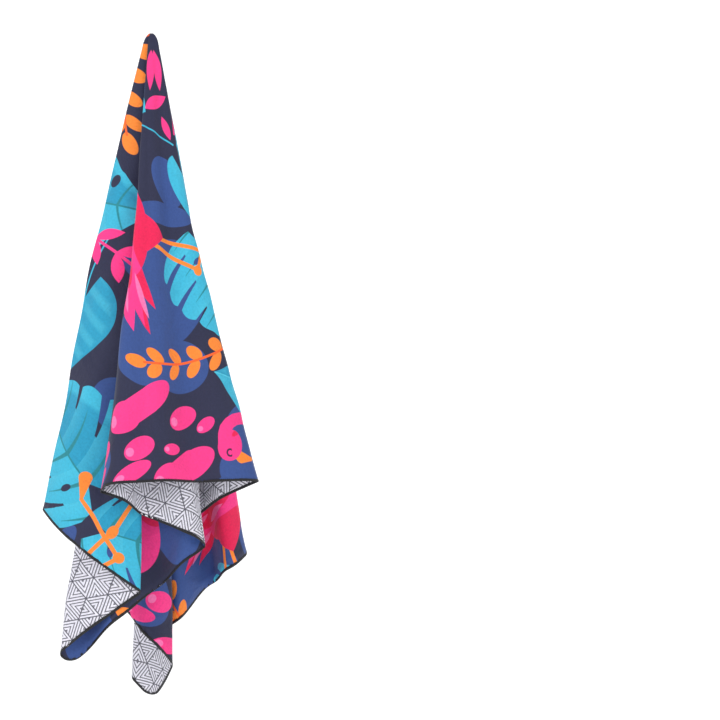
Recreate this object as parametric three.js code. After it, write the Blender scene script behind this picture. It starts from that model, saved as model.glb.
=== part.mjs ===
// A quick dry towel: one thin printed cloth with a black overlocked edge, hanging in folds from one
// point near the middle of a long side. Millimetres and degrees. The origin is the point where the
// cloth hangs, +Z is up, the towel's front faces -Y and +X is to its right.
//
// From the hanging point the cloth runs straight down in every direction of the flat cut, so a place
// on the towel is a distance from that point and an angle round it on the flat cut. A list of folds
// says where each angle hangs.
import * as THREE from 'three';
import { mergeVertices } from 'three/addons/utils/BufferGeometryUtils.js';

// Driving dimensions.
const CLOTH_WIDTH = 800; // the short sides
const CLOTH_LENGTH = 1600; // the long sides
const CORNER_RADIUS = 25;
const CLOTH_THICKNESS = 0.6;
const EDGING_WIDTH = 5; // the overlocked edge, measured across the cloth
const EDGING_THICKNESS = 1.4;
const CLEARANCE = 0.3; // between the cloth and its edging, and between neighbouring edgings
const HANG_FROM_SIDE = 47.5; // the hanging point, in from the near long side
const HANG_FROM_MIDDLE = 52; // the hanging point, towards the upper short side from the towel's middle
const TOP_OPENING = 6; // the crumpled cloth right at the hook, which is left open
const GATHER = 45; // how far above the hook the folds would meet, which gives the bunch its width there
const LAYER_GAP = 0.9; // between neighbouring layers where they are bunched at the hook
const LAYER_SPREAD = 0.0045; // and how much more for each millimetre further down
const FOLD_RADIUS = 1.6; // how far each fold is rounded at the hook
const FOLD_SOFTENING = 0.004; // and how much more for each millimetre further down
const WIDEST_FOLD = 3.3; // degrees of the cut that a fold's rounding may reach to each side

// Going once round the hanging point, from one end of the near long side to the other. Each line is
// one fold: cut is its angle on the flat cut, from the direction straight across to the far long
// side; right and back are the angles at which it hangs, from straight down; bow is how far its middle
// hangs to the right of straight. The rest is about the cloth from this fold to the next: layer is its
// place from front to back, and waves is its number of half waves, which start towards the front
// unless it is negative.
const FOLDS = [
  { cut: -110, right: 3, back: 17, bow: 0, layer: 13, waves: -1 },
  { cut: -95, right: -10, back: 12.5, bow: 0, layer: 11, waves: 2 },
  { cut: -82, right: -2.6, back: 9.6, bow: 0, layer: 10, waves: -1 },
  { cut: -67.4, right: -12.04, back: 0.5, bow: -8, layer: 3, waves: 1 },
  { cut: -53.6, right: -0.6, back: -3.9, bow: 0, layer: 4, waves: 1 },
  { cut: -46, right: -7.95, back: -2.2, bow: 0, layer: 5, waves: -4 },
  { cut: -28.8, right: 6.04, back: -3.9, bow: 0, layer: 2, waves: 3 },
  { cut: -12.7, right: -5.44, back: -7.6, bow: 13, layer: 1, waves: 1 },
  { cut: -5, right: -0.3, back: -10.5, bow: 0, layer: 1, waves: 3 },
  { cut: 11, right: 13.3, back: -3.6, bow: -15, layer: 6, waves: 3 },
  { cut: 34.5, right: -6.2, back: 2.9, bow: 0, layer: 7, waves: -2 },
  { cut: 45, right: 1.75, back: 4.2, bow: 0, layer: 8, waves: -1 },
  { cut: 50.6, right: -2.3, back: 7.7, bow: 0, layer: 9, waves: -4 },
  { cut: 72.4, right: 9.63, back: 6.0, bow: 5, layer: 10, waves: -1 },
  { cut: 86, right: 1.2, back: 11.9, bow: 0, layer: 11, waves: -1 },
  { cut: 95, right: 8.6, back: 14.3, bow: 0, layer: 12, waves: -3 },
  { cut: 110, right: -4, back: 16.7, bow: 0, layer: 12, waves: 1 },
];
const MIDDLE_LAYER = 7;

const radians = THREE.MathUtils.degToRad;
const SAMPLE_STEP = 0.1; // degrees between the samples of the folded line
const PATH_PIECES = 240; // straight pieces in a layer's path before it is measured
const HALVINGS = 50; // of a search's range, which leaves far less than a micrometre

// The cloth from one fold to the next, as points (right, back) one SAMPLE_STEP apart along the cloth.
// It waves just enough to use up its own length between the two folds.
function layerPath(from, to) {
  const start = new THREE.Vector2(from.right, from.back);
  const end = new THREE.Vector2(to.right, to.back);
  const chord = end.clone().sub(start);
  const side = new THREE.Vector2(chord.y, -chord.x).normalize();
  if (side.y > 0) side.negate();
  side.multiplyScalar(Math.sign(from.waves));
  const halfWaves = Math.abs(from.waves);
  const length = to.cut - from.cut;
  const pieces = PATH_PIECES;
  const trace = (height) => {
    const path = [];
    for (let i = 0; i <= pieces; i++) {
      const share = i / pieces;
      const wave = height * Math.sin(halfWaves * Math.PI * share);
      path.push(start.clone().addScaledVector(chord, share).addScaledVector(side, wave));
    }
    return path;
  };
  const measure = (path) => path.slice(1).reduce((sum, point, i) => sum + point.distanceTo(path[i]), 0);
  let low = 0;
  let high = length;
  for (let i = 0; i < HALVINGS; i++) {
    const middle = (low + high) / 2;
    if (measure(trace(middle)) < length) low = middle;
    else high = middle;
  }
  const path = trace(low);
  const total = measure(path);
  const steps = Math.round(length / SAMPLE_STEP);
  const even = [];
  let done = 0;
  let i = 1;
  for (let k = 0; k < steps; k++) {
    const wanted = (k / steps) * total;
    while (done + path[i].distanceTo(path[i - 1]) < wanted) {
      done += path[i].distanceTo(path[i - 1]);
      i++;
    }
    even.push(path[i - 1].clone().lerp(path[i], (wanted - done) / path[i].distanceTo(path[i - 1])));
  }
  return even;
}

// Running sums of right, back, bow and layer along the whole folded line, so that a mean over any
// stretch of it, which is what rounds a fold, is the difference of two of them.
const sums = [[0, 0, 0, 0]];
for (let f = 0; f < FOLDS.length - 1; f++) {
  const path = layerPath(FOLDS[f], FOLDS[f + 1]);
  path.forEach((point, k) => {
    const share = k / path.length;
    const bow = THREE.MathUtils.lerp(FOLDS[f].bow, FOLDS[f + 1].bow, share);
    const last = sums[sums.length - 1];
    sums.push([last[0] + point.x, last[1] + point.y, last[2] + bow, last[3] + FOLDS[f].layer]);
  });
}
const FIRST_CUT = FOLDS[0].cut;
const LAST_CUT = FOLDS[FOLDS.length - 1].cut;

function sumAt(cut, which) {
  const place = THREE.MathUtils.clamp((cut - FIRST_CUT) / SAMPLE_STEP, 0, sums.length - 1);
  const low = Math.min(Math.floor(place), sums.length - 2);
  return THREE.MathUtils.lerp(sums[low][which], sums[low + 1][which], place - low);
}

function foldReach(distance) {
  const reach = THREE.MathUtils.radToDeg((FOLD_RADIUS + FOLD_SOFTENING * distance) / distance);
  return Math.min(reach, WIDEST_FOLD);
}

// Where the middle of the cloth's thickness hangs, at this distance from the hanging point and this
// angle of the cut.
function hang(distance, cut) {
  const reach = Math.min(foldReach(distance), cut - FIRST_CUT + SAMPLE_STEP, LAST_CUT - cut + SAMPLE_STEP);
  const first = Math.max(cut - reach, FIRST_CUT);
  const last = Math.min(cut + reach, LAST_CUT);
  const mean = (which) => (sumAt(last, which) - sumAt(first, which)) / (last - first) * SAMPLE_STEP;
  const slopeRight = Math.tan(radians(mean(0)));
  const slopeBack = Math.tan(radians(mean(1)));
  const bow = mean(2) * Math.sin(Math.PI * Math.min(distance / CLOTH_WIDTH, 1));
  const layer = mean(3) - MIDDLE_LAYER;
  const pitch = CLOTH_THICKNESS + LAYER_GAP + LAYER_SPREAD * distance;
  const down = distance / Math.hypot(1, slopeRight, slopeBack);
  return new THREE.Vector3((down + GATHER) * slopeRight + bow, down * slopeBack + layer * pitch, -down);
}

// The same, but this far towards the printed face from the middle of the thickness.
function place(distance, cut, height) {
  const before = Math.max(cut - SAMPLE_STEP, FIRST_CUT);
  const after = Math.min(cut + SAMPLE_STEP, LAST_CUT);
  const along = hang(distance, after).sub(hang(distance, before));
  const down = hang(distance + 1, cut).sub(hang(distance - 1, cut));
  return hang(distance, cut).addScaledVector(down.cross(along).normalize(), height);
}

// The flat cut is a rectangle with rounded corners. Its half sizes and centre, as seen from the
// hanging point, with x towards the far long side and y towards the lower short side.
const CENTRE = new THREE.Vector2(CLOTH_WIDTH / 2 - HANG_FROM_SIDE, HANG_FROM_MIDDLE);
const HALF = new THREE.Vector2(CLOTH_WIDTH / 2, CLOTH_LENGTH / 2);

function outsideCut(distance, cut, inset) {
  const x = Math.abs(distance * Math.cos(radians(cut)) - CENTRE.x) - (HALF.x - CORNER_RADIUS);
  const y = Math.abs(distance * Math.sin(radians(cut)) - CENTRE.y) - (HALF.y - CORNER_RADIUS);
  const round = Math.hypot(Math.max(x, 0), Math.max(y, 0)) + Math.min(Math.max(x, y), 0);
  return round > CORNER_RADIUS - inset;
}

// How far the cut reaches from the hanging point at this angle, less an inset from its edge.
function reachOfCut(cut, inset) {
  let low = 0;
  let high = CLOTH_LENGTH * 2;
  for (let i = 0; i < HALVINGS; i++) {
    const middle = (low + high) / 2;
    if (outsideCut(middle, cut, inset)) high = middle;
    else low = middle;
  }
  return low;
}

// The angles of the cut's corners, and of the two ends of each corner's arc.
const corners = [];
for (const [x, y] of [[1, 1], [1, -1], [-1, 1], [-1, -1]]) {
  const at = (alongX, alongY) => THREE.MathUtils.radToDeg(Math.atan2(
    CENTRE.y + y * (HALF.y - alongY * CORNER_RADIUS),
    CENTRE.x + x * (HALF.x - alongX * CORNER_RADIUS),
  ));
  const bevel = 1 - Math.SQRT1_2;
  corners.push({ near: x < 0, lower: y > 0, ends: [at(0, 1), at(bevel, bevel), at(1, 0)] });
}

// The columns of the folded sheet. Each is an angle of the cut that moves with the distance, because a
// fold's rounding reaches over a smaller angle further down: a fold plus a share of its reach, or a
// share of the layer between two folds.
const columns = [];
for (let f = 0; f < FOLDS.length - 1; f++) {
  const { cut, waves } = FOLDS[f];
  const next = FOLDS[f + 1].cut;
  if (f > 0) for (const share of [-0.5, 0, 0.5]) columns.push({ cut, share });
  const inside = [];
  const steps = Math.abs(waves) * 3 + 1;
  for (let k = 0; k <= steps; k++) inside.push(k / steps);
  for (const angle of corners.flatMap((corner) => corner.ends)) {
    const reach = foldReach(reachOfCut(angle, 0));
    const share = (angle - cut - reach) / (next - cut - 2 * reach);
    if (share > 0 && share < 1 && inside.every((other) => Math.abs(other - share) > 0.01)) inside.push(share);
  }
  inside.sort((a, b) => a - b);
  for (const share of inside) columns.push({ from: cut, to: next, share });
}

function columnCut(column, distance) {
  const reach = foldReach(distance);
  if (column.cut !== undefined) return column.cut + column.share * reach;
  const first = column.from === FIRST_CUT ? 0 : reach;
  const last = column.to === LAST_CUT ? 0 : reach;
  return THREE.MathUtils.lerp(column.from + first, column.to - last, column.share);
}

// The distance at which a column meets the cut's edge, less an inset.
const REFINEMENTS = 12;
function columnReach(column, inset) {
  let distance = CLOTH_WIDTH;
  for (let i = 0; i < REFINEMENTS; i++) distance = reachOfCut(columnCut(column, distance), inset);
  return distance;
}

// A closed sheet over some columns, from one distance to another in each, and from one height to another.
function sheet(across, distances, thickness) {
  const rows = distances(across[0]).length;
  const positions = [];
  for (const height of [thickness / 2, -thickness / 2]) {
    for (const column of across) {
      for (const distance of distances(column)) {
        positions.push(...place(distance, columnCut(column, distance), height).toArray());
      }
    }
  }
  const faces = [];
  const at = (side, column, row) => side * across.length * rows + column * rows + row;
  const quad = (a, b, c, d) => faces.push(a, b, c, a, c, d);
  for (let c = 0; c < across.length - 1; c++) {
    for (let r = 0; r < rows - 1; r++) {
      quad(at(0, c, r), at(0, c, r + 1), at(0, c + 1, r + 1), at(0, c + 1, r));
      quad(at(1, c, r), at(1, c + 1, r), at(1, c + 1, r + 1), at(1, c, r + 1));
    }
    quad(at(0, c, 0), at(0, c + 1, 0), at(1, c + 1, 0), at(1, c, 0));
    quad(at(0, c, rows - 1), at(1, c, rows - 1), at(1, c + 1, rows - 1), at(0, c + 1, rows - 1));
  }
  const end = across.length - 1;
  for (let r = 0; r < rows - 1; r++) {
    quad(at(0, 0, r), at(1, 0, r), at(1, 0, r + 1), at(0, 0, r + 1));
    quad(at(0, end, r), at(0, end, r + 1), at(1, end, r + 1), at(1, end, r));
  }
  const geometry = new THREE.BufferGeometry();
  geometry.setAttribute('position', new THREE.Float32BufferAttribute(positions, 3));
  geometry.setIndex(faces);
  return mergeVertices(geometry, 1e-5);
}

const towel = new THREE.Group();
function add(name, geometry, material) {
  const mesh = new THREE.Mesh(geometry, material);
  mesh.name = name;
  towel.add(mesh);
}

// The printed cloth, from the bunch at the hook to the inside of its edging.
const printed = new THREE.MeshStandardMaterial({ color: 0x35364f, roughness: 0.9, metalness: 0 });
const clothRows = [0, 0.05, 0.18, 0.4, 0.7, 1];
add('printed_cloth', sheet(columns, (column) => {
  const reach = columnReach(column, EDGING_WIDTH);
  return clothRows.map((share) => THREE.MathUtils.lerp(TOP_OPENING, reach, share));
}, CLOTH_THICKNESS), printed);

// The overlocked edging, one run along each side, which meets the next in the middle of a corner.
const thread = new THREE.MeshStandardMaterial({ color: 0x14141c, roughness: 0.95, metalness: 0 });
const middleOf = (near, lower) => corners.find((c) => c.near === near && c.lower === lower).ends[1];
const sides = [
  ['edging_near_side_upper', FIRST_CUT, middleOf(true, false)],
  ['edging_upper_end', middleOf(true, false), middleOf(false, false)],
  ['edging_far_side', middleOf(false, false), middleOf(false, true)],
  ['edging_lower_end', middleOf(false, true), middleOf(true, true)],
  ['edging_near_side_lower', middleOf(true, true), LAST_CUT],
];
for (const [name, first, last] of sides) {
  const end = (cut) => THREE.MathUtils.radToDeg(CLEARANCE / reachOfCut(cut, 0));
  const start = first === FIRST_CUT ? first : first + end(first);
  const stop = last === LAST_CUT ? last : last - end(last);
  const inside = columns.filter((column) => {
    const cut = columnCut(column, columnReach(column, 0));
    return cut > start + 0.05 && cut < stop - 0.05;
  });
  const run = [{ cut: start, share: 0 }, ...inside, { cut: stop, share: 0 }];
  add(name, sheet(run, (column) => [
    columnReach(column, EDGING_WIDTH - CLEARANCE),
    columnReach(column, 0),
  ], EDGING_THICKNESS), thread);
}

export default towel;
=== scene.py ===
import math

import bpy
import numpy as np
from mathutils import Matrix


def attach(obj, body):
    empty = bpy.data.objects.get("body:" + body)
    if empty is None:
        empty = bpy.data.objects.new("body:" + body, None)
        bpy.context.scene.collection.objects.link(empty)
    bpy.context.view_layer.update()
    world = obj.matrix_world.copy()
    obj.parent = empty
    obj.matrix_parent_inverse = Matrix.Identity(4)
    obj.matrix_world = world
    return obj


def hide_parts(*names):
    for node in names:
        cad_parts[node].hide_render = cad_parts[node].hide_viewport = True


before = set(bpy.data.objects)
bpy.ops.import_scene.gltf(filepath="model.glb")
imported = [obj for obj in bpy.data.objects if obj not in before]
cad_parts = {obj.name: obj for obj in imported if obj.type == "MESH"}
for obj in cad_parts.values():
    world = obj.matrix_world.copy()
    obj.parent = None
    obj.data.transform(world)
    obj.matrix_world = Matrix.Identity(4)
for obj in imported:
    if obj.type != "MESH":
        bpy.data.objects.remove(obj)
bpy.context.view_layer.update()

# The room is a plain white sweep: a floor that curves up into a wall well behind the towel, so that
# nothing but soft light and a faint shade surrounds it.
floor_height = -1.32
wall_distance = 9.0
bend_radius = 0.6
sweep_half_width = 7.0
profile = [(-8.0, floor_height)]
for step in range(13):
    bend = math.radians(90 * step / 12)
    profile.append((
        wall_distance - bend_radius + bend_radius * math.sin(bend),
        floor_height + bend_radius - bend_radius * math.cos(bend),
    ))
profile.append((wall_distance, 4.0))
sweep_mesh = bpy.data.meshes.new("sweep")
sweep_mesh.from_pydata(
    [(side * sweep_half_width, y, z) for y, z in profile for side in (-1, 1)],
    [],
    [(2 * k, 2 * k + 1, 2 * k + 3, 2 * k + 2) for k in range(len(profile) - 1)],
)
for face in sweep_mesh.polygons:
    face.use_smooth = True
sweep = bpy.data.objects.new("sweep", sweep_mesh)
bpy.context.collection.objects.link(sweep)
paper = bpy.data.materials.new("white_paper")
paper.use_nodes = True
paper_surface = paper.node_tree.nodes["Principled BSDF"]
paper_surface.inputs["Base Color"].default_value = (0.93, 0.93, 0.93, 1)
paper_surface.inputs["Roughness"].default_value = 0.95
paper_surface.inputs["Emission Color"].default_value = (1, 1, 1, 1)
paper_surface.inputs["Emission Strength"].default_value = 0.42
sweep_mesh.materials.append(paper)

# The camera stands five metres back with a long lens, level with the middle of the towel, which
# hangs to the left of its view. A wide softbox on each side and a pale sky light it evenly.
camera_distance = 5.0
camera_data = bpy.data.cameras.new("camera")
camera_data.sensor_width = 36
camera_data.lens = 30 * camera_distance
camera = bpy.data.objects.new("camera", camera_data)
camera.location = (0.348, -camera_distance, -0.545)
camera.rotation_euler = (math.radians(90), 0, 0)
bpy.context.collection.objects.link(camera)
bpy.context.scene.camera = camera


def softbox(name, place, aim, size, power):
    light = bpy.data.lights.new(name, "AREA")
    light.shape = "DISK"
    light.size = size
    light.energy = power
    lamp = bpy.data.objects.new(name, light)
    lamp.location = place
    back = np.subtract(place, aim)
    lamp.rotation_euler = (
        math.atan2(math.hypot(back[0], back[1]), back[2]),
        0,
        math.atan2(back[0], -back[1]),
    )
    bpy.context.collection.objects.link(lamp)


softbox("key_light", (-2.2, -3.4, 1.0), (0, 0, -0.55), 2.4, 58)
softbox("fill_light", (2.6, -3.2, 0.2), (0, 0, -0.6), 2.8, 22)
world = bpy.data.worlds.new("studio")
world.use_nodes = True
world.node_tree.nodes["Background"].inputs["Color"].default_value = (0.97, 0.98, 1.0, 1)
world.node_tree.nodes["Background"].inputs["Strength"].default_value = 0.66
bpy.context.scene.world = world
bpy.context.scene.view_settings.view_transform = "Standard"

# The cloth is one thin suede-finished microfibre sheet, 80 by 160 centimetres with rounded corners,
# hung from a point near the middle of a long side. It runs straight down from that point in every
# direction of the flat cut, so a place on it is a distance and an angle of the cut, in degrees.
cloth_width = 0.8
cloth_length = 1.6
corner_radius = 0.025
cloth_thickness = 0.0006
hang_from_side = 0.0475
hang_from_middle = 0.052
gather = 0.045
layer_gap = 0.0009
layer_spread = 0.0045
fold_radius = 0.0016
fold_softening = 0.004
widest_fold = 3.3
middle_layer = 7
# Each fold: its angle of the cut, the angles right and back at which it hangs, how far its middle
# bows to the right, the place of the cloth after it from front to back, and that cloth's half waves.
folds = [
    (-110, 3, 17, 0, 13, -1),
    (-95, -10, 12.5, 0, 11, 2),
    (-82, -2.6, 9.6, 0, 10, -1),
    (-67.4, -12.04, 0.5, -0.008, 3, 1),
    (-53.6, -0.6, -3.9, 0, 4, 1),
    (-46, -7.95, -2.2, 0, 5, -4),
    (-28.8, 6.04, -3.9, 0, 2, 3),
    (-12.7, -5.44, -7.6, 0.013, 1, 1),
    (-5, -0.3, -10.5, 0, 1, 3),
    (11, 13.3, -3.6, -0.015, 6, 3),
    (34.5, -6.2, 2.9, 0, 7, -2),
    (45, 1.75, 4.2, 0, 8, -1),
    (50.6, -2.3, 7.7, 0, 9, -4),
    (72.4, 9.63, 6.0, 0.005, 10, -1),
    (86, 1.2, 11.9, 0, 11, -1),
    (95, 8.6, 14.3, 0, 12, -3),
    (110, -4, 16.7, 0, 12, 1),
]
sample_step = 0.1


def layer_path(fold, next_fold):
    """The cloth between two folds as hanging angles, waving just enough to use up its length."""
    start = np.array(fold[1:3], float)
    chord = np.array(next_fold[1:3], float) - start
    length = next_fold[0] - fold[0]
    waves = fold[5]
    side = np.array([chord[1], -chord[0]]) / np.hypot(*chord)
    side *= -np.sign(waves) * np.sign(side[1])
    share = np.linspace(0, 1, 241)[:, None]

    def trace(height):
        path = start + share * chord + height * np.sin(abs(waves) * np.pi * share) * side
        return path, np.concatenate([[0], np.cumsum(np.hypot(*np.diff(path, axis=0).T))])

    low, high = 0.0, float(length)
    for _ in range(50):
        middle = (low + high) / 2
        if trace(middle)[1][-1] < length:
            low = middle
        else:
            high = middle
    path, run = trace(low)
    steps = round(length / sample_step)
    wanted = np.arange(steps) / steps * run[-1]
    return np.column_stack([np.interp(wanted, run, path[:, k]) for k in (0, 1)])


rows = []
for fold, next_fold in zip(folds, folds[1:]):
    path = layer_path(fold, next_fold)
    share = np.arange(len(path)) / len(path)
    bow = fold[3] + (next_fold[3] - fold[3]) * share
    rows.append(np.column_stack([path, bow, np.full(len(path), fold[4])]))
running_sums = np.vstack([np.zeros(4), np.cumsum(np.vstack(rows), axis=0)])
first_cut, last_cut = folds[0][0], folds[-1][0]
cut_marks = first_cut + sample_step * np.arange(len(running_sums))


def fold_reach(distance):
    """Degrees of the cut over which a fold is rounded, to each side."""
    return np.minimum(np.degrees((fold_radius + fold_softening * distance) / distance), widest_fold)


# Bunched on its hook, the cloth comes together in a small blunt tip, whose layers close up over
# this distance.
tip_length = 0.019


def hang(distance, cut):
    """Where the middle of the cloth's thickness hangs."""
    reach = np.minimum(fold_reach(distance), np.minimum(cut - first_cut, last_cut - cut) + sample_step)
    first = np.maximum(cut - reach, first_cut)
    last = np.minimum(cut + reach, last_cut)
    right, back, bow, layer = (
        (np.interp(last, cut_marks, sums) - np.interp(first, cut_marks, sums))
        / (last - first) * sample_step
        for sums in running_sums.T
    )
    slope_right = np.tan(np.radians(right))
    slope_back = np.tan(np.radians(back))
    pitch = cloth_thickness + layer_gap + layer_spread * distance
    down = distance / np.sqrt(1 + slope_right**2 + slope_back**2)
    open_up = np.sqrt(1 - (1 - np.minimum(distance / tip_length, 1)) ** 2)
    bowed = bow * np.sin(np.pi * np.minimum(distance / cloth_width, 1))
    x = (down + gather * open_up) * slope_right + bowed
    y = down * slope_back + (layer - middle_layer) * pitch * open_up
    return soften(np.stack([x, y, -down], axis=-1))


# Soft swells and hollows of the whole hanging bunch, as waves through the space it hangs in, so that
# neighbouring layers move together: depth, waves a metre across and down, and where they start.
swell_full_depth = 0.35
sideways_share = 0.35
swells = [
    (0.0030, 3.1, 2.2, 0.4),
    (0.0022, -6.3, 3.4, 2.1),
    (0.0015, 9.7, 4.9, 4.0),
    (0.0010, -14.2, 7.7, 1.2),
    (0.0007, 21.0, -10.3, 5.3),
]


def soften(points):
    """The points moved by the swells, which die away towards the hook."""
    x, y, z = points[..., 0], points[..., 1], points[..., 2]
    strength = np.clip(-z / swell_full_depth, 0, 1) ** 1.5
    move = np.zeros_like(x)
    for depth, across, downward, start in swells:
        move += depth * np.sin(2 * np.pi * (across * x + downward * z + 0.8 * y) + start)
    return np.stack([x + sideways_share * strength * move, y + strength * move, z], axis=-1)


def place(distance, cut, height):
    """A point this far towards the printed face from the middle of the cloth's thickness."""
    step = 0.0005
    along = hang(distance, np.minimum(cut + sample_step, last_cut))
    along = along - hang(distance, np.maximum(cut - sample_step, first_cut))
    down = hang(distance + step, cut) - hang(distance - step * (distance > step), cut)
    face = np.cross(down, along)
    face /= np.maximum(np.linalg.norm(face, axis=-1, keepdims=True), 1e-12)
    return hang(distance, cut) + face * np.asarray(height)[..., None]


centre = np.array([cloth_width / 2 - hang_from_side, hang_from_middle])
half_size = np.array([cloth_width / 2, cloth_length / 2])


def reach_of_cut(cut, inset):
    """How far the flat cut reaches from the hanging point at an angle, less an inset from its edge."""
    low = np.zeros_like(cut)
    high = np.full_like(cut, 2 * cloth_length)
    for _ in range(44):
        middle = (low + high) / 2
        x = np.abs(middle * np.cos(np.radians(cut)) - centre[0]) - half_size[0] + corner_radius
        y = np.abs(middle * np.sin(np.radians(cut)) - centre[1]) - half_size[1] + corner_radius
        outside = np.hypot(np.maximum(x, 0), np.maximum(y, 0)) + np.minimum(np.maximum(x, y), 0)
        beyond = outside > corner_radius - inset
        high = np.where(beyond, middle, high)
        low = np.where(beyond, low, middle)
    return low


# The columns of the cloth's mesh. Close to a fold they move with its rounding, which reaches over a
# smaller angle further down, and along the near side they follow the edge.
column_spacing = 0.62
rounded_share = 0.26
edge_spacing = 0.018
fold_shares = np.array([-1.3, -0.9, -0.55, -0.25, 0, 0.25, 0.55, 0.9, 1.3])
edge_marks = np.arange(0.135, half_size[1] + hang_from_middle, edge_spacing)
near_edge_cuts = np.degrees(np.arctan2(edge_marks, -hang_from_side))
moving = []
for index, (fold, next_fold) in enumerate(zip(folds, folds[1:])):
    low_share = 1.5 if index > 0 else 0
    high_share = 1.5 if index < len(folds) - 2 else 0
    count = max(3, round((next_fold[0] - fold[0]) / column_spacing))
    shares = list(np.linspace(0, 1, count))
    for angle in (*near_edge_cuts, *-near_edge_cuts):
        share = (angle - fold[0]) / (next_fold[0] - fold[0])
        if 0 < share < 1 and abs(angle) < 97 and min(abs(share - other) for other in shares) > 0.004:
            shares.append(share)
    width = next_fold[0] - fold[0]
    for share in sorted(shares):
        moving.append((fold[0], next_fold[0], low_share, high_share, share, width))
    if index < len(folds) - 2:
        next_width = folds[index + 2][0] - next_fold[0]
        for share in fold_shares:
            side_width = width if share < 0 else next_width
            moving.append((next_fold[0], next_fold[0], -share, share, 0.5, side_width))


def column_cuts(distance):
    """Every column's angle of the cut at its own distance."""
    table = np.array(moving)
    reach = np.minimum(fold_reach(distance), rounded_share * table[:, 5])
    lowest = table[:, 0] + table[:, 2] * reach
    highest = table[:, 1] - table[:, 3] * reach
    lone = table[:, 0] == table[:, 1]
    inside = lowest + (highest - lowest) * table[:, 4]
    return np.where(lone, table[:, 0] + table[:, 3] * reach, inside)


def column_reach(inset):
    distance = np.full(len(moving), cloth_width)
    for _ in range(14):
        distance = reach_of_cut(column_cuts(distance), inset)
    return distance


row_count = 74
start_distance = 0.0012
edge_inset = 0.001
ends = column_reach(edge_inset)
row_shares = np.linspace(0, 1, row_count) ** 1.25
distances = start_distance + (ends - start_distance)[None, :] * row_shares[:, None]
cuts = np.array([column_cuts(row) for row in distances])
cuts = np.maximum.accumulate(cuts, axis=1)
columns = len(moving)
points = []
for height in (cloth_thickness / 2, -cloth_thickness / 2):
    points.append(place(distances, cuts, np.full(distances.shape, height)).reshape(-1, 3))
points = np.vstack(points)
r, c = np.meshgrid(np.arange(row_count - 1), np.arange(columns - 1), indexing="ij")
corner = (r * columns + c).ravel()
layer_size = row_count * columns
printed_faces = np.column_stack([corner, corner + columns, corner + columns + 1, corner + 1])
back_faces = printed_faces[:, [0, 3, 2, 1]] + layer_size
top = np.arange(columns - 1)
bottom = top + (row_count - 1) * columns
left = np.arange(row_count - 1) * columns
right = left + columns - 1
rims = np.vstack([
    np.column_stack([top, top + 1, top + 1 + layer_size, top + layer_size]),
    np.column_stack([bottom, bottom + layer_size, bottom + 1 + layer_size, bottom + 1]),
    np.column_stack([left, left + layer_size, left + columns + layer_size, left + columns]),
    np.column_stack([right, right + columns, right + columns + layer_size, right + layer_size]),
])
faces = np.vstack([printed_faces, back_faces, rims])
cloth_mesh = bpy.data.meshes.new("towel_cloth")
cloth_mesh.from_pydata(points.tolist(), [], faces.tolist())
cloth_mesh.polygons.foreach_set("use_smooth", np.ones(len(faces), bool))
cloth_mesh.polygons.foreach_set(
    "material_index",
    np.concatenate([
        np.zeros(len(printed_faces)), np.ones(len(back_faces)), np.ones(len(rims)),
    ]).astype(np.int32),
)
# Where each point lies on the flat cut, in metres from its upper left corner seen on the printed
# face; and the same laid out side by side, printed face and back, in one square.
flat_across = (cloth_width - hang_from_side - distances * np.cos(np.radians(cuts))).ravel()
flat_down = (cloth_length / 2 - hang_from_middle + distances * np.sin(np.radians(cuts))).ravel()
flat = np.column_stack([flat_across, flat_down])
flat = np.vstack([flat, flat])
loop_points = np.empty(len(cloth_mesh.loops), np.int32)
cloth_mesh.loops.foreach_get("vertex_index", loop_points)
cut_map = cloth_mesh.uv_layers.new(name="flat_cut")
cut_map.uv.foreach_set("vector", flat[loop_points].astype(np.float32).ravel())
# On some folds the drawing is set over, by up to nine centimetres near the far upper corner, so that
# its motifs lie where they do on the hanging towel. The amounts are fitted: a real towel's
# drawing runs on unbroken, so they make up for folds that don't lie quite as the real ones do.
drawn = flat.copy()
angle, reached = (np.tile(values.ravel(), 2) for values in (cuts, distances))
upper = np.interp(angle, [-53.6, -46], [1, 0])
outer = np.interp(reached, [0.62, 0.8], [0, 1])
drawn[:, 0] += (0.03 + 0.08 * reached - 0.013 * outer) * upper
drawn[:, 1] += (0.01 - 0.024 * outer) * upper
drawn[:, 0] -= 0.036 * np.interp(angle, [-50, -46, -28.8, -20], [0, 1, 1, 0])
lower = np.interp(angle, [45, 50.6, 72.4, 86], [0, 1, 1, 0])
drawn[:, 0] -= 0.055 * lower
drawn[:, 1] -= 0.03 * lower
drawing_map = cloth_mesh.uv_layers.new(name="drawing")
drawing_map.uv.foreach_set("vector", drawn[loop_points].astype(np.float32).ravel())
square = np.column_stack([flat[:, 0] / cloth_width / 2, 1 - flat[:, 1] / cloth_length])
square[layer_size:, 0] += 0.5
bake_margin = 0.004
square = bake_margin + (1 - 2 * bake_margin) * square
bake_map = cloth_mesh.uv_layers.new(name="OFBake")
bake_map.uv.foreach_set("vector", square[loop_points].astype(np.float32).ravel())
cloth_mesh.validate()
cloth = bpy.data.objects.new("towel_cloth", cloth_mesh)
bpy.context.collection.objects.link(cloth)
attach(cloth, "root")
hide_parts("printed_cloth")


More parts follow.
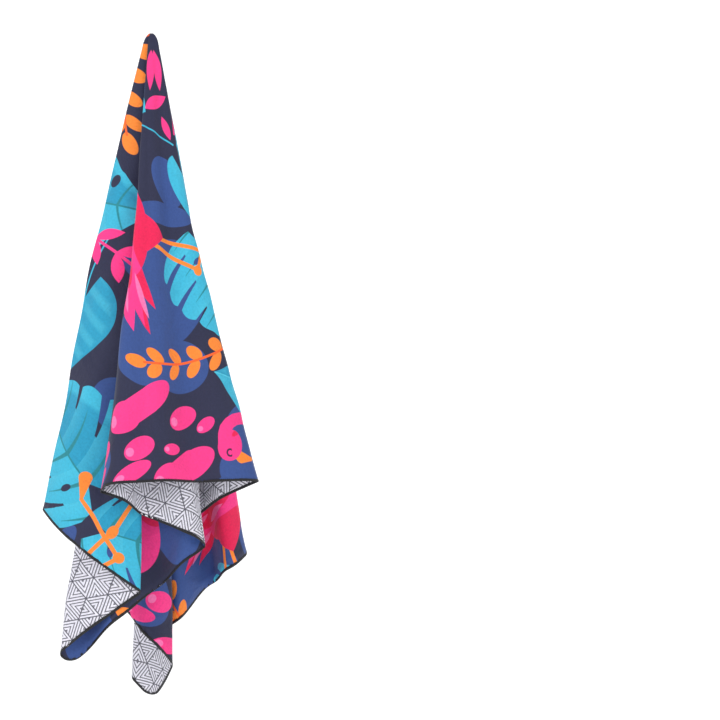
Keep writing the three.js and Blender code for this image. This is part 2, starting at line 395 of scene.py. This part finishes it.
# The inks of the two faces are drawn with these. A colour is given as it looks in print.
class Ink:
    """A socket of the material being made. Arithmetic on it adds Math nodes there."""

    material = None

    def __init__(self, socket):
        self.socket = socket

    @classmethod
    def node(cls, kind, inputs, output=0, curve=None, **settings):
        tree = cls.material.node_tree
        made = tree.nodes.new("ShaderNode" + kind)
        for name, value in settings.items():
            setattr(made, name, value)
        if curve:
            shape = made.mapping.curves[0].points
            shape[0].location, shape[1].location = curve[0], curve[-1]
            for point in curve[1:-1]:
                shape.new(*point)
            made.mapping.update()
        for key, value in inputs.items():
            if isinstance(value, Ink):
                tree.links.new(value.socket, made.inputs[key])
            else:
                made.inputs[key].default_value = value
        return cls(made.outputs[output])

    def math(self, operation, *others):
        return Ink.node("Math", dict(enumerate([self, *others])), operation=operation)

    def vector(self, operation, *others, output=0):
        return Ink.node("VectorMath", dict(enumerate([self, *others])), output, operation=operation)

    def __add__(self, other):
        return self.math("ADD", other)

    __radd__ = __add__

    def __mul__(self, other):
        return self.math("MULTIPLY", other)

    __rmul__ = __mul__

    def __sub__(self, other):
        return self.math("SUBTRACT", other)

    def __rsub__(self, other):
        return Ink.node("Math", {0: other, 1: self}, operation="SUBTRACT")

    def __abs__(self):
        return self.math("ABSOLUTE")

    def times_plus(self, factor, extra):
        return self.math("MULTIPLY_ADD", factor, extra)

    def both(self, other):
        """Inside both of two shapes, where a shape is how deep inside it a point lies."""
        return self.math("MINIMUM", other)

    def either(self, other):
        return self.math("MAXIMUM", other)

    def parts(self):
        split = Ink.node("SeparateXYZ", {0: self}).socket.node
        return Ink(split.outputs[0]), Ink(split.outputs[1])

    def mask(self, blur=0.035):
        """One inside a shape and nothing outside it, with an edge this soft."""
        return Ink.node("MapRange", {0: self, 1: -blur, 2: blur, 3: 0, 4: 1})

    def over(self, ground, colour):
        """The ground with this much of the colour printed over it."""
        return Ink.node("Mix", {0: self, 6: ground, 7: colour}, 2, data_type="RGBA")


def dye(red, green, blue):
    """A printed colour, from its three levels out of 255."""
    levels = [level / 255 for level in (red, green, blue)]
    return (*(((v + 0.055) / 1.055) ** 2.4 if v > 0.04 else v / 12.92 for v in levels), 1)


def axes(place, across, down, turn=0, stretch=(1, 1)):
    """How far along and aside a place lies, from a spot of the print turned by some degrees."""
    along, aside = math.cos(math.radians(turn)), math.sin(math.radians(turn))
    offset = place.vector("SUBTRACT", (across, down, 0)) if across or down else place
    ahead = offset.vector("DOT_PRODUCT", (along / stretch[0], aside / stretch[0], 0), output=1)
    return ahead, offset.vector("DOT_PRODUCT", (-aside / stretch[1], along / stretch[1], 0), output=1)


def seen_from(place, across, down, turn=0, stretch=(1, 1)):
    """The same place as seen from a spot of the print, turned by some degrees and scaled."""
    if turn:
        along, aside = axes(place, across, down, turn, stretch)
        return Ink.node("CombineXYZ", {0: along, 1: aside})
    grow = (1 / stretch[0], 1 / stretch[1], 0)
    return place.vector("MULTIPLY_ADD", grow, (-across * grow[0], -down * grow[1], 0))


def oval(place, across, down, long, wide, turn=0):
    around = seen_from(place, across, down, turn, (long, wide)).vector("LENGTH", output=1)
    return around.times_plus(-wide, wide)


def rod(place, start, end, radius, end_radius=None):
    """A round-ended stroke from one point to another, which may taper."""
    run = (end[0] - start[0], end[1] - start[1], 0)
    square = run[0] ** 2 + run[1] ** 2
    offset = place.vector("SUBTRACT", (*start, 0))
    share = offset.vector("DOT_PRODUCT", (run[0] / square, run[1] / square, 0), output=1)
    share = Ink.node("Clamp", {0: share})
    near = Ink.node("VectorMath", {0: run, "Scale": share}, operation="SCALE")
    away = offset.vector("DISTANCE", near, output=1)
    if end_radius is None:
        return radius - away
    return share.times_plus(end_radius - radius, radius) - away


def blade(place, root, tip, half_width):
    """A pointed leaf or feather from its root to its tip."""
    run = (tip[0] - root[0], tip[1] - root[1])
    turn = math.degrees(math.atan2(run[1], run[0]))
    along, aside = axes(place, *root, turn, (math.hypot(*run), half_width))
    middle = along.times_plus(2, -1)
    return middle.times_plus(middle, abs(aside)).times_plus(-half_width, half_width)


# The printed face: one 80-centimetre square of tropical drawing, repeated down the towel and matched
# at its sides, in bright inks on dark navy. Places in it are centimetres from its upper left corner.
tile = 80.0
front_print = bpy.data.materials.new("tropical_print")
front_print.use_nodes = True
Ink.material = front_print
drawn_place = Ink.node("UVMap", {}, uv_map="drawing")
spot = drawn_place.vector("MULTIPLY", (100, 100, 0)).vector("WRAP", (tile, tile, tile), (0, 0, 0))


def copy_of(across, down, turn=0, size=1.0, flip=False, room=None, middle=(0, 0)):
    """The place as seen from one copy of a motif, which may cross the edge of the square."""
    stretch = (size, -size if flip else size)
    crosses = room is None or min(across, down, tile - across, tile - down) < room
    if not crosses:
        return seen_from(spot, across, down, turn, stretch)
    half = tile / 2
    offset = spot.vector("SUBTRACT", (across, down, 0))
    along, aside = math.cos(math.radians(turn)), math.sin(math.radians(turn))
    ahead = stretch[0] * along * middle[0] - stretch[1] * aside * middle[1]
    abreast = stretch[0] * aside * middle[0] + stretch[1] * along * middle[1]
    highest = (ahead + half, abreast + half, half)
    offset = offset.vector("WRAP", highest, (ahead - half, abreast - half, -half))
    return seen_from(offset, 0, 0, turn, stretch)


def nearest(copies, middle, spread, room):
    """The place as seen from whichever copy of a motif is nearest, judged round its middle."""
    best = near = None
    for copy in copies:
        local = copy_of(*copy, room=room, middle=middle)
        away = seen_from(local, *middle, 0, spread).vector("LENGTH", output=1)
        if best is None:
            best, near = local, away
            continue
        closer = away.math("LESS_THAN", near)
        best = Ink.node("Mix", {0: closer, 4: best, 5: local}, 1, data_type="VECTOR")
        near = near.both(away)
    return best


# Ground: near-black navy with rounded shadows of leaves in a mid blue and a dull purple.
print_colour = dye(47, 49, 74)
mid_blue_shadows = [
    (4.5, 55, 5.0, 8.0, 0), (13, 55, 4.2, 5.5, 10), (22, 70, 5.5, 6.5, 60), (31, 75, 9.5, 7.0, 20),
    (19, 76.5, 5.5, 4.5, 90), (38, 52, 3.5, 8.5, 0), (56.5, 46.5, 6.0, 4.0, 140),
    (47, 53, 6.5, 6.5, 0), (51, 58, 3.5, 4.5, 0), (9, 10, 4.5, 6.0, 0), (2, 9, 5.0, 6.5, 0),
    (28.5, 25, 6.0, 5.0, 30), (31, 33.5, 11, 5.0, -12), (38.5, 17, 4.5, 8.0, 0),
    (48, 23, 6.0, 4.5, 20), (77.5, 6.5, 4.5, 5.5, 0), (66, 68, 6.0, 5.0, 30), (76, 39, 5.5, 6, 0),
    (3, 31, 7, 5, 30), (60, 14, 7, 4, 20),
    (49.8, 76.3, 4.6, 2.6, 157), (44.4, 75.2, 5.9, 1.9, 100),
]
purple_shadows = [
    (68, 4.5, 2.6, 5.2, 20),
    (72.5, 8.8, 5.2, 2.4, -8), (32.5, 42.5, 3.8, 3.2, 0), (5, 36, 3, 6, -30), (13, 36.5, 4.5, 2.5, 0),
]
for shades, colour in ((purple_shadows, dye(57, 54, 92)), (mid_blue_shadows, dye(58, 83, 143))):
    shadow = None
    for across, down, long, wide, turn in shades:
        local = copy_of(across, down, turn, 1.0, room=max(long, wide))
        one = seen_from(local, 0, 0, 0, (long, wide)).vector("LENGTH", output=1)
        shadow = one if shadow is None else shadow.both(one)
    print_colour = (1 - shadow).mask(0.008).over(print_colour, colour)

# Sprigs of round leaves in pairs along a bowed stem, with one bud at the end, in orange.
sprig_length = 18.5
sprig_bow = 2.0
orange = dye(255, 140, 56)
deep_orange = dye(255, 104, 46)


def laid(start, end, size, flip=False):
    """A copy of a motif from where it starts to where it ends, which gives its turn."""
    run = (end[0] - start[0], end[1] - start[1])
    return (*start, math.degrees(math.atan2(run[1], run[0])), size, flip)


round_sprigs = [
    laid((25.7, 35.6), (28.7, 16.9), 1.0, True), laid((69.5, 31.3), (76.4, 14.8), 1.0),
    laid((14.0, 48.5), (29.4, 58.3), 1.0, True), laid((22.9, 86.4), (20.1, 68.0), 1.0),
    laid((60.4, 64.0), (53.8, 47.9), 1.0, True), laid((78.2, 75.6), (70.2, 58.9), 1.0, True),
]
local = nearest(round_sprigs, (9, 0), (10.5, 4.5), 19)
along, aside = local.parts()
bend = along.times_plus(-1, sprig_length) * along * (4 * sprig_bow / sprig_length**2)
aside = aside + bend
pair_gap = 3.87
first_pair = 2.2
side_of_stem = aside.math("SIGN")
shifted = side_of_stem.times_plus(0.3, along - first_pair)
in_pair = shifted.math("WRAP", pair_gap * 0.72, -pair_gap * 0.28)
leaf_place = Ink.node("CombineXYZ", {0: in_pair, 1: abs(aside)})
leaf = oval(leaf_place, 1.05, 1.25, 1.6, 0.95, 48)
leaf = leaf.both(along - 0.6).both(16.6 - along)
bud = oval(Ink.node("CombineXYZ", {0: along, 1: aside}), sprig_length - 0.6, 0, 1.75, 1.15)
print_colour = leaf.either(bud).mask().over(print_colour, orange)
stem = (0.2 - abs(aside)).both(along + 0.8).both(sprig_length - 1.8 - along)
print_colour = stem.mask().over(print_colour, deep_orange)

# Split-leaf monsteras, light teal on one side of the midrib and darker on the other, with dark green
# veins, slots cut in from the edge between the veins, and two holes. A leaf is one unit long.
monsteras = [
    laid((46.0, 8.6), (69.3, 17.0), 24.6), laid((82.6, 44.2), (62.0, 51.8), 22.0, True),
    laid((38.5, 3.4), (22.0, 9.2), 17.6, True), laid((14.4, 40.2), (31.2, 46.4), 17.9),
]
local = nearest(monsteras, (0.4, 0), (0.62, 0.5), 24)
along, aside = local.parts()
out = abs(aside)
outline = [(0, 0), (0.03, 0.22), (0.1, 0.4), (0.25, 0.54), (0.4, 0.56), (0.6, 0.47), (0.75, 0.32),
           (0.88, 0.15), (0.95, 0.06), (1, 0)]
half = Ink.node("FloatCurve", {1: along.times_plus(1 / 1.24, 0.24 / 1.24)}, curve=outline)
vein_gap = 0.26
lane = along - out.times_plus(0.75, 0.22) * out
in_lane = lane.math("WRAP", vein_gap / 2, -vein_gap / 2)
from_vein = abs(in_lane)
lobe = half - 3.2 * (from_vein * from_vein) * (0.6 - lane).mask(0.08)
leaf = (lobe - out).both(along.times_plus(0.6, out) + 0.01)
slot_width = out.times_plus(0.11, -0.018)
slot = (slot_width - (vein_gap / 2 - from_vein)).both(out - 0.25).both(0.62 - lane)
leaf = leaf.both(-1 * slot)
for hole in ((0.71, 0.17, 0.052, 0.036, 60), (0.06, -0.16, 0.048, 0.026, -70)):
    leaf = leaf.both(-1 * oval(local, *hole))
leaf_mask = leaf.mask(0.0016)
vein = (out.times_plus(-0.05, 0.0185) - from_vein).both(0.33 - out).both(0.78 - lane)
teal = dye(64, 183, 214)
deep_teal = dye(38, 150, 188)
bright_teal = dye(88, 202, 226)
vein_green = dye(44, 136, 146)
shade = aside.mask(0.004) * (half.times_plus(0.72, -1 * out)).mask(0.02)
leaf_colour = (0.85 * shade).over(teal, deep_teal)
glow = Ink.node("MapRange", {0: in_lane, 1: 0.0, 2: vein_gap / 2, 3: 0.0, 4: 0.35})
leaf_colour = (glow * (half - out).mask(0.1)).over(leaf_colour, bright_teal)
leaf_colour = vein.mask(0.003).over(leaf_colour, vein_green)
leaf_colour = (0.0065 - out).mask(0.002).over(leaf_colour, vein_green)
print_colour = leaf_mask.over(print_colour, leaf_colour)

# Heart-shaped leaves on long bowed stems, with a pale midrib and paler panels between the veins. A
# leaf is one unit from its notch to its tip.
hearts = [
    laid((14.8, 13.9), (18.0, 3.0), 11.6, True), laid((64.1, 34.1), (61.2, 21.4), 13.0),
    laid((61.0, 68.6), (65.0, 57.9), 11.4),
]
local = nearest(hearts, (0.2, 0), (1, 0.8), 15)
along, aside = local.parts()
out = abs(aside)
outline = [(0, 0), (0.03, 0.2), (0.12, 0.42), (0.3, 0.56), (0.42, 0.57), (0.6, 0.46), (0.8, 0.24),
           (0.93, 0.07), (1, 0)]
wider_side = aside.times_plus(0.09, 1.0)
half = Ink.node("FloatCurve", {1: along.times_plus(1 / 1.38, 0.38 / 1.38)}, curve=outline)
leaf = (half * wider_side - out).both(along.times_plus(0.55, out) + 0.005)
stem_bend = along * along * 0.16 + aside
stem = (0.011 - abs(stem_bend)).both(along + 0.9).both(0.02 - along)
print_colour = stem.mask(0.003).over(print_colour, teal)
lane = (along - out * 0.45).math("WRAP", 0.13, -0.13)
leaf_colour = (0.8 * (-1 * aside).mask(0.003)).over(teal, deep_teal)
panel = (lane.both(0.115 - lane)).both(out - 0.04).both(half.times_plus(0.82, -1 * out))
leaf_colour = (0.35 * panel.mask(0.03)).over(leaf_colour, bright_teal)
leaf_colour = (0.009 - out).mask(0.003).over(leaf_colour, bright_teal)
print_colour = leaf.mask(0.003).over(print_colour, leaf_colour)

# Sprigs of pointed leaves, two in hot pink and one in orange.
pointed_length = 16.5
hot_pink = dye(255, 62, 141)
for colour, sprigs in (
    (orange, [laid((30.4, 49.2), (44.6, 38.5), 1.05)]),
    (hot_pink, [laid((69.0, 43.4), (52.8, 41.0), 1.0)]),
):
    local = nearest(sprigs, (8, 0), (9, 6), 17)
    along, aside = local.parts()
    aside = aside + (pointed_length - along) * along * (4 * 1.1 / pointed_length**2)
    in_pair = (along - 1.4).math("WRAP", 4.15, -0.55)
    leaf_place = Ink.node("CombineXYZ", {0: in_pair, 1: abs(aside)})
    leaf = blade(leaf_place, (-0.1, 0), (3.5, 3.4), 0.95)
    leaf = leaf.both(along - 0.6).both(pointed_length - 1.2 - along)
    end_place = Ink.node("CombineXYZ", {0: along, 1: aside})
    leaf = leaf.either(blade(end_place, (pointed_length - 4.2, 0), (pointed_length, 0), 0.85))
    stem = (0.24 - abs(aside)).both(along).both(pointed_length - 3 - along)
    print_colour = leaf.either(stem).mask().over(print_colour, colour)
local = copy_of(66, 78)
sprig = rod(local, (-8, -0.1), (6.5, -0.9), 0.2)
for root, tip, half_width in (
    ((6.2, -3.4), (-0.7, -4.0), 0.5), ((6.2, -3.2), (-0.7, -2.4), 0.5), ((-3.8, -5.0), (-1.7, -1.6), 1.1),
    ((-5.1, -2.1), (-9.1, -0.8), 0.5), ((-6.2, 0.2), (-3.4, 4.8), 0.95), ((-2.6, 0), (0.6, 4.4), 0.95),
):
    sprig = sprig.either(blade(local, root, tip, half_width))
print_colour = sprig.mask().over(print_colour, hot_pink)

# Pebble-like spots in two drifts, hot pink with a pale shine at one end. The big beans are two ovals.
pebbles = [
    (1.6, 58.2, 3.4, 1.3, 62), (5.8, 60.1, 2.7, 1.75, 64), (1.6, 66.7, 3.6, 1.35, 62),
    (5.6, 68.2, 2.8, 1.75, 64), (5.3, 74.1, 1.75, 0.95, 86), (10.5, 76.8, 2.8, 1.75, 62),
    (9.4, 80.8, 1.7, 1.0, 50), (10.8, 65.6, 3.2, 2.6, 70), (13.6, 70.8, 4.2, 2.1, 54),
    (0.4, 73.2, 3.1, 2.6, 66), (3.0, 78.4, 3.9, 2.1, 52),
    (41.4, 22.6, 3.8, 1.3, 62), (46.9, 25.6, 3.3, 2.1, 62), (39.3, 27.2, 3.0, 2.4, 70),
    (41.2, 32.3, 3.6, 2.1, 54), (45.1, 30.6, 3.9, 1.35, 58), (50.5, 34.2, 4.0, 1.5, 60),
    (45.7, 37, 2.9, 1.75, 58), (50.2, 39.3, 2.1, 1.0, 54),
]
best = near = None
for across, down, long, wide, turn in pebbles:
    local = copy_of(across, down, turn, 1.0, room=long)
    local = seen_from(local, 0, 0, 0, (long, wide))
    away = local.vector("LENGTH", output=1)
    if best is None:
        best, near = local, away
    else:
        closer = away.math("LESS_THAN", near)
        best = Ink.node("Mix", {0: closer, 4: best, 5: local}, 1, data_type="VECTOR")
        near = near.both(away)
print_colour = (1 - near).mask(0.015).over(print_colour, hot_pink)
for across, down, turn, room in ((11.2, 66.4, 62, 6), (1.0, 74.4, 60, 6), (39.6, 28.1, 64, 6)):
    waist = rod(copy_of(across, down, turn, room=room), (0, 0), (4.4, 0), 2.15)
    print_colour = waist.mask().over(print_colour, hot_pink)
shine = oval(best, -0.62, -0.1, 0.26, 0.42)
for plain_end in ((13.6, 70.8, 54), (3.0, 78.4, 52), (41.2, 32.3, 54)):
    shine = shine.both(-1 * oval(copy_of(*plain_end), 0, 0, 4.2, 2.1))
pale_pink = dye(255, 130, 190)
print_colour = (0.8 * shine.mask(0.03)).over(print_colour, pale_pink)

# Long-legged wading birds in hot pink, drawn twice and once mirrored: legs first, then the tail,
# the body, the wing, and the looped neck with its small head and bill.
birds = [(0, 0, 0, 1.0, False), (52.2, 42.75, 180, 1.0, True)]
legs = None
for bird in birds:
    local = copy_of(*bird, middle=(12, 40))
    shapes = [
        rod(local, start, end, 0.34)
        for start, end in (
            ((11.9, 30.5), (14.1, 41.0)), ((14.3, 41.0), (13.7, 51.6)), ((13.0, 30.0), (17.2, 38.3)),
            ((17.2, 38.3), (7.2, 42.7)),
        )
    ]
    shapes += [oval(local, 14.2, 41.1, 1.15, 0.8, 90), oval(local, 17.2, 38.4, 0.9, 0.85)]
    shapes += [
        blade(local, (14.4, 51.2), (7.8, 52.9), 0.75),
        rod(local, (7.2, 42.7), (5.6, 46.3), 0.25, 1.15),
    ]
    for shape in shapes:
        legs = shape if legs is None else legs.either(shape)
print_colour = legs.mask().over(print_colour, orange)
local = nearest(birds, (11, 17), (14, 17), None)
red_pink = dye(238, 36, 88)
for tip, half_width in (((26.2, 21.9), 1.2), ((28.0, 28.6), 1.3), ((23.9, 29.8), 1.2)):
    under = blade(local, (9.0, 22.5), tip, half_width)
    print_colour = under.mask().over(print_colour, red_pink)
body = oval(local, 9.4, 23.0, 9.6, 6.0, 12).either(blade(local, (10.0, 22.0), (11.9, 32.0), 3.6))
for tip, half_width in (((23.4, 16.6), 3.6), ((27.4, 25.9), 2.3), ((26.6, 27.9), 1.4)):
    body = body.either(blade(local, (4.0, 20.5), tip, half_width))
print_colour = body.mask().over(print_colour, hot_pink)
belly = oval(local, 11.6, 29.0, 7.2, 3.2, 10).both(body)
under_wing = oval(local, 13.0, 23.1, 7.2, 1.9, 14).both(body)
print_colour = belly.either(under_wing).mask().over(print_colour, red_pink)
for root, tip, half_width in (
    ((6.0, 21.6), (12.8, 17.4), 1.0), ((8.0, 21.8), (15.2, 18.4), 0.7), ((5.6, 22.4), (13.6, 22.0), 0.5),
    ((9.8, 23.9), (16.8, 25.0), 0.7), ((17.0, 23.4), (24.2, 25.0), 0.5), ((17.6, 26.2), (25.4, 28.6), 0.5),
):
    print_colour = (0.8 * blade(local, root, tip, half_width).mask()).over(print_colour, pale_pink)
neck_bends = [
    (6.2, 3.4), (8.6, 3.6), (10.2, 5.2), (10.6, 7.8), (9.6, 10.8), (7.0, 13.6), (3.8, 15.8), (1.6, 18.4),
    (0.9, 21.4), (2.6, 24.4),
]
for _ in range(2):
    eased = [neck_bends[0]]
    for (x, y), (next_x, next_y) in zip(neck_bends, neck_bends[1:]):
        eased.append((0.75 * x + 0.25 * next_x, 0.75 * y + 0.25 * next_y))
        eased.append((0.25 * x + 0.75 * next_x, 0.25 * y + 0.75 * next_y))
    neck_bends = eased + [neck_bends[-1]]
neck_bends = neck_bends[::2]
neck = oval(local, 5.9, 4.5, 2.6, 2.1, 20)
for start, end in zip(neck_bends, neck_bends[1:]):
    neck = neck.either(rod(local, start, end, 0.98))
bill = rod(local, (3.9, 6.3), (3.7, 8.2), 1.0, 0.35)
print_colour = bill.mask().over(print_colour, orange)
print_colour = neck.mask().over(print_colour, hot_pink)
throat = oval(local, 8.3, 6.0, 1.4, 0.5, 50).both(neck)
print_colour = throat.mask().over(print_colour, red_pink)
eye = (0.14 - abs(oval(local, 4.7, 4.4, 0.55, 0.5))).both(4.7 - local.parts()[1])
print_colour = eye.mask(0.05).over(print_colour, dye(60, 40, 70))


# Both faces are brushed microfibre: a close short nap over a very fine weave, with faint soft creases
# from folding. The nap catches light at a low angle.
def finish_cloth(material, colour, roughness):
    Ink.material = material
    flat_place = Ink.node("UVMap", {}, uv_map="flat_cut")
    weave = Ink.node("TexNoise", {"Vector": flat_place, "Scale": 900.0, "Detail": 2.0})
    creases = Ink.node("TexNoise", {"Vector": flat_place, "Scale": 17.0, "Detail": 4.0, "Distortion": 0.6})
    crumple = Ink.node(
        "TexVoronoi", {"Vector": flat_place, "Scale": 9.0}, 0, feature="DISTANCE_TO_EDGE")
    ridges = Ink.node("MapRange", {0: crumple, 1: 0.0, 2: 0.09, 3: 0.0, 4: 1.0})
    fine = Ink.node("Bump", {"Height": weave, "Strength": 0.35, "Distance": 0.0004})
    soft = Ink.node("Bump", {"Height": creases, "Strength": 0.7, "Distance": 0.010, "Normal": fine})
    normal = Ink.node("Bump", {"Height": ridges, "Strength": 0.25, "Distance": 0.0016, "Normal": soft})
    nap = Ink.node("TexNoise", {"Vector": flat_place, "Scale": 260.0, "Detail": 3.0})
    worn = Ink.node("MapRange", {0: nap, 1: 0.3, 2: 0.7, 3: 0.90, 4: 1.06})
    tint = Ink.node("CombineXYZ", {0: worn, 1: worn, 2: worn})
    colour = Ink.node("Mix", {0: 1.0, 6: colour, 7: tint}, 2, data_type="RGBA", blend_type="MULTIPLY")
    surface = material.node_tree.nodes["Principled BSDF"]
    links = material.node_tree.links
    links.new(colour.socket, surface.inputs["Base Color"])
    links.new(normal.socket, surface.inputs["Normal"])
    links.new((nap * 0.12 + roughness).socket, surface.inputs["Roughness"])
    surface.inputs["Specular IOR Level"].default_value = 0.3
    surface.inputs["Sheen Weight"].default_value = 0.12
    surface.inputs["Sheen Roughness"].default_value = 0.45


finish_cloth(front_print, print_colour, 0.74)
cloth_mesh.materials.append(front_print)

# The back is white with thin dark lines: close-packed triangles, each filled with nested chevrons
# that open towards one of its sides.
back_print = bpy.data.materials.new("triangle_print")
back_print.use_nodes = True
Ink.material = back_print
triangle_side = 3.65
triangle_height = triangle_side * math.sqrt(3) / 2
line_gap = triangle_height / 2 / 3.35
line_width = 0.078
flat_place = Ink.node("UVMap", {}, uv_map="flat_cut")
levels = []
for direction in (0, 120, 240):
    facing = (math.cos(math.radians(direction + 4)), math.sin(math.radians(direction + 4)), 0)
    level = flat_place.vector("DOT_PRODUCT", facing, output=1)
    levels.append(level * (100 / triangle_height) + 40.0)
shares = [level.math("FRACT") for level in levels]
total = shares[0] + shares[1] + shares[2]
upward = total.math("LESS_THAN", 1.5)
edges = []
for share in shares:
    edges.append(Ink.node("Mix", {0: upward, 2: 1 - share, 3: share}, 0, data_type="FLOAT"))
cells = levels[0].math("FLOOR") + levels[1].math("FLOOR").times_plus(2, 0) + upward
which = cells.math("WRAP", 3, 0)
first_pick = which.math("LESS_THAN", 0.5)
last_pick = which.math("GREATER_THAN", 1.5)
pairs = [edges[0].both(edges[1]), edges[1].both(edges[2]), edges[2].both(edges[0])]
chevron = Ink.node("Mix", {0: first_pick, 2: pairs[1], 3: pairs[0]}, 0, data_type="FLOAT")
chevron = Ink.node("Mix", {0: last_pick, 2: chevron, 3: pairs[2]}, 0, data_type="FLOAT")
nearest_edge = edges[0].both(edges[1]).both(edges[2]) * triangle_height
in_band = abs((chevron * triangle_height).math("WRAP", line_gap / 2, -line_gap / 2))
line = (line_width - in_band).either(line_width * 1.15 - nearest_edge)
grain = Ink.node("TexNoise", {"Vector": flat_place, "Scale": 420.0, "Detail": 2.0})
white = Ink.node("MapRange", {0: grain, 1: 0.35, 2: 0.65, 3: 0.0, 4: 1.0})
white = white.over(dye(214, 212, 224), dye(238, 236, 244))
back_colour = (0.92 * line.mask(0.03)).over(white, dye(52, 52, 66))
finish_cloth(back_print, back_colour, 0.78)
cloth_mesh.materials.append(back_print)

# The edge is overlocked all round with black thread: a padded strip of close stitches that wraps the
# raw edge, with the needle thread's legs reaching a little further in on the back. It is sewn side by
# side, so each side's run is its own piece.
stitch_length = 0.0030
sections_per_stitch = 4
edging_thickness = 0.0014
around_section = 10


def corner_arc(x_side, y_side, start, end):
    arc_centre = centre + np.array([x_side, y_side]) * (half_size - corner_radius)
    count = max(3, round(corner_radius * abs(end - start) / (stitch_length / sections_per_stitch)))
    angles = np.linspace(start, end, count)
    outward = np.column_stack([np.cos(angles), np.sin(angles)])
    return arc_centre + corner_radius * outward, -outward


def straight(start, end, inward):
    length = np.hypot(*np.subtract(end, start))
    count = max(2, round(length / (stitch_length / sections_per_stitch)))
    share = np.linspace(0, 1, count)[:, None]
    points = np.array(start) + share * np.subtract(end, start)
    return points, np.tile(inward, (count, 1))


def joined(*stretches):
    return [np.vstack(group) for group in zip(*stretches)]


quarter = math.pi / 4
near_x = centre[0] - half_size[0]
far_x = centre[0] + half_size[0]
upper_y = centre[1] - half_size[1]
lower_y = centre[1] + half_size[1]
last_held = hang_from_side / math.tan(math.radians(last_cut - 90))
runs = {
    "near_side_upper": joined(
        straight((near_x, -last_held), (near_x, upper_y + corner_radius), (1, 0)),
        corner_arc(-1, -1, math.pi, math.pi + quarter),
    ),
    "upper_end": joined(
        corner_arc(-1, -1, math.pi + quarter, math.pi + 2 * quarter),
        straight((near_x + corner_radius, upper_y), (far_x - corner_radius, upper_y), (0, 1)),
        corner_arc(1, -1, -2 * quarter, -quarter),
    ),
    "far_side": joined(
        corner_arc(1, -1, -quarter, 0),
        straight((far_x, upper_y + corner_radius), (far_x, lower_y - corner_radius), (-1, 0)),
        corner_arc(1, 1, 0, quarter),
    ),
    "lower_end": joined(
        corner_arc(1, 1, quarter, 2 * quarter),
        straight((far_x - corner_radius, lower_y), (near_x + corner_radius, lower_y), (0, -1)),
        corner_arc(-1, 1, 2 * quarter, 3 * quarter),
    ),
    "near_side_lower": joined(
        corner_arc(-1, 1, 3 * quarter, math.pi),
        straight((near_x, lower_y - corner_radius), (near_x, last_held), (1, 0)),
    ),
}
thread = bpy.data.materials.new("black_thread")
for name, (edge, inward) in runs.items():
    keep = np.concatenate([[True], np.hypot(*np.diff(edge, axis=0).T) > 1e-6])
    edge, inward = edge[keep], inward[keep]
    travelled = np.concatenate([[0], np.cumsum(np.hypot(*np.diff(edge, axis=0).T))])
    pulse = 0.5 + 0.5 * np.cos(2 * np.pi * travelled / stitch_length)
    taper = np.clip(np.minimum(travelled, travelled[-1] - travelled) / 0.001, 0.35, 1)
    turns = 2 * np.pi * np.arange(around_section) / around_section
    across = (1 - np.cos(turns)) / 2
    on_back = np.sin(turns) < 0
    width = np.where(on_back[None, :], 0.0044 + 0.0014 * pulse[:, None], 0.0043 + 0.0007 * pulse[:, None])
    inset = across[None, :] * width - 0.0001
    height = np.sin(turns)[None, :] * (edging_thickness / 2) * (0.8 + 0.3 * pulse * taper)[:, None]
    flat_points = edge[:, None, :] + inward[:, None, :] * inset[..., None]
    distance = np.hypot(flat_points[..., 0], flat_points[..., 1])
    cut = np.degrees(np.arctan2(flat_points[..., 1], flat_points[..., 0]))
    cut = np.clip(cut, first_cut, last_cut)
    points = place(distance, cut, height).reshape(-1, 3)
    sections = len(edge)
    s, a = np.meshgrid(np.arange(sections - 1), np.arange(around_section), indexing="ij")
    following = (a + 1) % around_section
    first = (s * around_section + a).ravel()
    second = (s * around_section + following).ravel()
    tube = np.column_stack([first, second, second + around_section, first + around_section])
    mesh = bpy.data.meshes.new("overlock_" + name)
    caps = [
        list(range(around_section))[::-1],
        list(range((sections - 1) * around_section, sections * around_section)),
    ]
    mesh.from_pydata(points.tolist(), [], tube.tolist() + caps)
    mesh.polygons.foreach_set("use_smooth", np.ones(len(tube) + 2, bool))
    thread_map = mesh.uv_layers.new(name="thread_run")
    loop_points = np.empty(len(mesh.loops), np.int32)
    mesh.loops.foreach_get("vertex_index", loop_points)
    run_place = np.stack(np.broadcast_arrays(travelled[:, None], inset), axis=-1).reshape(-1, 2)
    thread_map.uv.foreach_set("vector", run_place[loop_points].astype(np.float32).ravel())
    mesh.materials.append(thread)
    piece = bpy.data.objects.new("overlock_" + name, mesh)
    bpy.context.collection.objects.link(piece)
    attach(piece, "root")
    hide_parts("edging_" + name)

thread.use_nodes = True
Ink.material = thread
run_place = Ink.node("UVMap", {}, uv_map="thread_run")
along, inset = run_place.parts()
strands = (inset.times_plus(0.35, along) * (2 * math.pi / 0.0006)).math("SINE")
fibres = Ink.node("TexNoise", {"Vector": run_place, "Scale": 2600.0, "Detail": 2.0})
twist = Ink.node("Bump", {"Height": strands, "Strength": 0.6, "Distance": 0.0002})
normal = Ink.node("Bump", {"Height": fibres, "Strength": 0.5, "Distance": 0.0001, "Normal": twist})
lift = Ink.node("MapRange", {0: strands + fibres, 1: -0.5, 2: 1.5, 3: 0.0, 4: 1.0})
thread_colour = lift.over(dye(8, 8, 12), dye(23, 23, 29))
surface = thread.node_tree.nodes["Principled BSDF"]
thread.node_tree.links.new(thread_colour.socket, surface.inputs["Base Color"])
thread.node_tree.links.new(normal.socket, surface.inputs["Normal"])
thread.node_tree.links.new((fibres * 0.2 + 0.5).socket, surface.inputs["Roughness"])
surface.inputs["Sheen Weight"].default_value = 0.05
